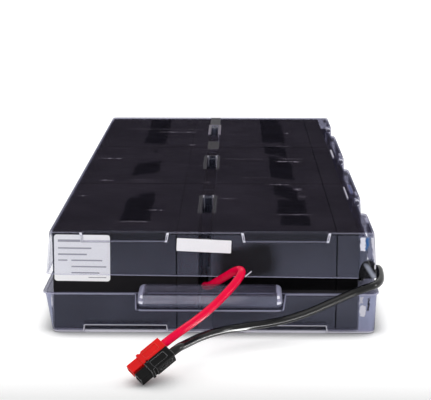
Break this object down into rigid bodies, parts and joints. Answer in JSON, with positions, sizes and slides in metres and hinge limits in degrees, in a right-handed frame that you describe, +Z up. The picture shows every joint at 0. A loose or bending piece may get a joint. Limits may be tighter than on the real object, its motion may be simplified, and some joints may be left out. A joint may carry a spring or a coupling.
{
  "type": "ups battery cartridge",
  "caption": "Low flat battery pack: sealed batteries on their sides between a clear formed tray and lid, with a pull tab at the front and red and black leads to a connector pair.",
  "frame": {"origin": "centre of the footprint of the tray with its pull tab, on the floor", "axes": "+Y back along the length of the cartridge, away from the pull tab; +Z up; +X to the right seen from the pull tab, the side the terminals of both columns face"},
  "size_m": [0.221, 0.5665, 0.0677],
  "materials": {
    "clear_sheet": "clear",
    "battery_case": "satin",
    "battery_cover": "satin",
    "vent_strip": "matte",
    "tinned_tab": "tinned",
    "jumper_wire": "gloss",
    "flag_insulation": "satin",
    "red_wire": "gloss",
    "black_wire": "gloss",
    "red_housing": "satin",
    "black_housing": "satin",
    "contact_metal": "silver plated",
    "pin_steel": "plain"
  },
  "bodies": {
    "root": {"lower_tray": "clear_sheet", "upper_lid": "clear_sheet", "battery_1_case": "battery_case", "battery_1_cover": "battery_cover", "battery_1_vent_strip": "vent_strip", "battery_1_terminals": "tinned_tab", "battery_2_case": "battery_case", "battery_2_cover": "battery_cover", "battery_2_vent_strip": "vent_strip", "battery_2_terminals": "tinned_tab", "battery_3_case": "battery_case", "battery_3_cover": "battery_cover", "battery_3_vent_strip": "vent_strip", "battery_3_terminals": "tinned_tab", "battery_4_case": "battery_case", "battery_4_cover": "battery_cover", "battery_4_vent_strip": "vent_strip", "battery_4_terminals": "tinned_tab", "battery_5_case": "battery_case", "battery_5_cover": "battery_cover", "battery_5_vent_strip": "vent_strip", "battery_5_terminals": "tinned_tab", "battery_6_case": "battery_case", "battery_6_cover": "battery_cover", "battery_6_vent_strip": "vent_strip", "battery_6_terminals": "tinned_tab", "jumper_1": "jumper_wire", "jumper_1_connectors": "flag_insulation", "jumper_2": "jumper_wire", "jumper_2_connectors": "flag_insulation", "jumper_3": "jumper_wire", "jumper_3_connectors": "flag_insulation", "jumper_4": "jumper_wire", "jumper_4_connectors": "flag_insulation", "jumper_5": "jumper_wire", "jumper_5_connectors": "flag_insulation", "red_lead": "red_wire", "red_lead_terminal": "flag_insulation", "red_connector_housing": "red_housing", "red_connector_contact": "contact_metal", "black_lead": "black_wire", "black_lead_terminal": "flag_insulation", "black_connector_housing": "black_housing", "black_connector_contact": "contact_metal", "connector_roll_pin": "pin_steel"}
  },
  "joints": []
}
